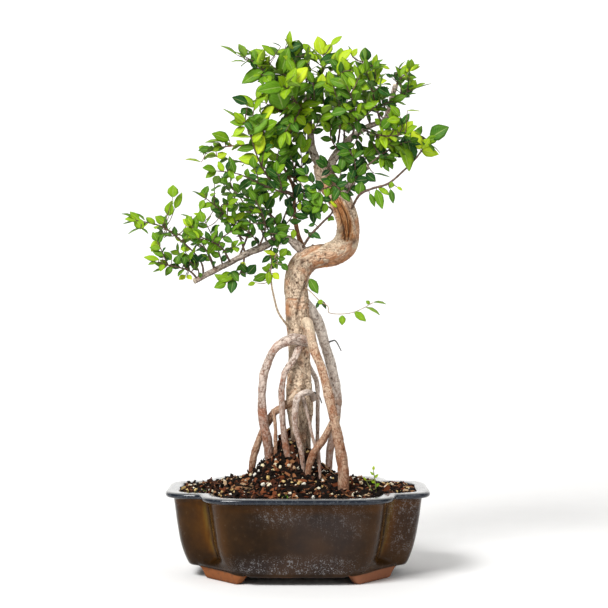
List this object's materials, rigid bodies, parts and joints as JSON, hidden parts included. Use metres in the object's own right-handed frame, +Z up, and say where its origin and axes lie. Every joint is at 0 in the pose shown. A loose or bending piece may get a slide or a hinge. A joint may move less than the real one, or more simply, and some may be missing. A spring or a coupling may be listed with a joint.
{
  "type": "bonsai tree in a pot",
  "caption": "Bonsai elm with a doubly bent trunk on exposed stilt roots, leafy shoots and heaped soil, in a glazed lobed pot on cloud feet.",
  "frame": {"origin": "the middle of the whole object's footprint box, on the surface that the pot's feet stand on; the pot's own centre is 15.5 mm towards +X", "axes": "+Z up, along the object's longest extent; X along the pot's long side, with the tree leaning out over the -X end; +Y to the back, along the shortest extent"},
  "size_m": [0.2582, 0.1644, 0.4343],
  "materials": {
    "glaze": "gloss",
    "screen": "satin",
    "wire": "satin",
    "soil": "matte",
    "bark": "matte",
    "root": "matte",
    "red_bark": "matte",
    "leaf": "satin"
  },
  "bodies": {
    "root": {"apex_shoot_1": "leaf", "apex_shoot_2": "leaf", "apex_shoot_3": "leaf", "apex_shoot_4": "leaf", "bend_shoot": "leaf", "drain_screen_left": "screen", "drain_screen_right": "screen", "fork_shoot": "leaf", "leader": "bark", "left_shoot_1": "leaf", "left_shoot_2": "leaf", "left_shoot_3": "leaf", "left_shoot_4": "leaf", "left_shoot_5": "leaf", "left_shoot_6": "leaf", "left_shoot_7": "leaf", "left_shoot_8": "leaf", "left_sucker": "leaf", "long_right_shoot": "leaf", "low_right_branch": "bark", "low_right_shoot_1": "leaf", "low_right_shoot_2": "leaf", "lower_left_branch": "bark", "lower_left_shoot_1": "leaf", "lower_left_shoot_2": "leaf", "lower_left_shoot_3": "leaf", "lower_left_shoot_4": "leaf", "lower_left_shoot_5": "leaf", "lower_left_shoot_6": "leaf", "lower_left_shoot_7": "leaf", "lower_left_shoot_8": "leaf", "lower_left_shoot_9": "leaf", "pot": "glaze", "red_branch": "red_bark", "right_branch": "bark", "right_shoot_1": "leaf", "right_shoot_2": "leaf", "right_shoot_3": "leaf", "right_shoot_4": "leaf", "right_shoot_5": "leaf", "right_shoot_6": "leaf", "right_shoot_7": "leaf", "right_shoot_8": "leaf", "right_shoot_9": "leaf", "right_sucker": "leaf", "root_1": "root", "root_10": "root", "root_2": "root", "root_3": "root", "root_4": "root", "root_5": "root", "root_6": "root", "root_7": "root", "root_8": "root", "root_9": "root", "screen_clip_left": "wire", "screen_clip_right": "wire", "soil": "soil", "trunk": "bark", "weed_seedling": "leaf"}
  },
  "joints": []
}
